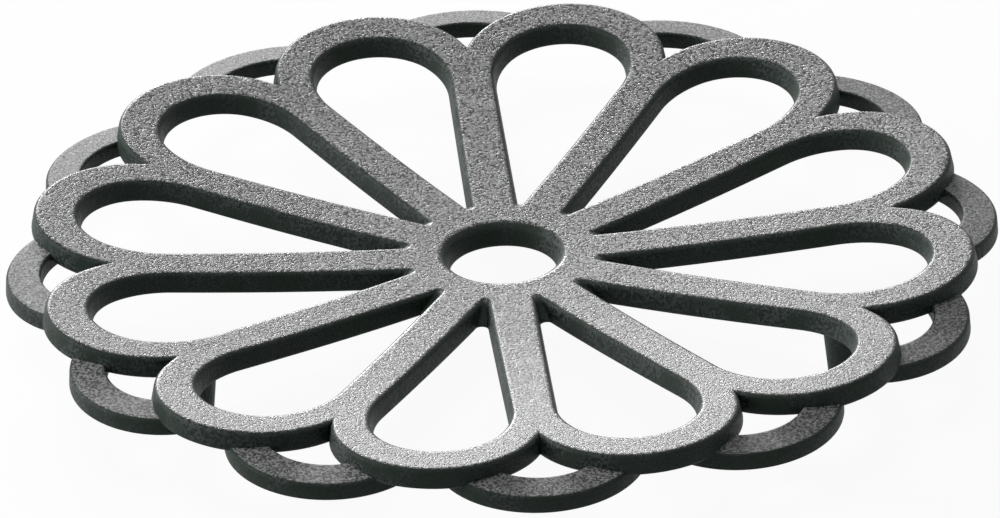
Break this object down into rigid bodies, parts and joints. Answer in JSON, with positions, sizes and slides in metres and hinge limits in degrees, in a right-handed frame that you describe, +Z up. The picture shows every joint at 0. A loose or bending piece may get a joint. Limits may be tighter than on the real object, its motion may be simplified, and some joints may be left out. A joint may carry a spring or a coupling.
{
  "type": "trivet",
  "caption": "Round cast-iron trivet shaped as an open flower: a dished ring of teardrop petal loops over a shorter ring of petals, on three tapered legs.",
  "frame": {"origin": "on the table, under the middle of the trivet", "axes": "+Z up along the hub's axis; +Y towards the first leg"},
  "size_m": [0.1886, 0.1886, 0.017],
  "materials": {
    "iron": "as-cast grey iron, faintly grainy, satin"
  },
  "bodies": {
    "root": {"hub_ring": "iron", "petal_01": "iron", "petal_02": "iron", "petal_03": "iron", "petal_04": "iron", "petal_05": "iron", "petal_06": "iron", "petal_07": "iron", "petal_08": "iron", "petal_09": "iron", "petal_10": "iron", "petal_11": "iron", "petal_12": "iron", "lower_petal_01": "iron", "lower_petal_02": "iron", "lower_petal_03": "iron", "lower_petal_04": "iron", "lower_petal_05": "iron", "lower_petal_06": "iron", "lower_petal_07": "iron", "lower_petal_08": "iron", "lower_petal_09": "iron", "lower_petal_10": "iron", "lower_petal_11": "iron", "lower_petal_12": "iron", "leg_1": "iron", "leg_2": "iron", "leg_3": "iron"}
  },
  "joints": []
}
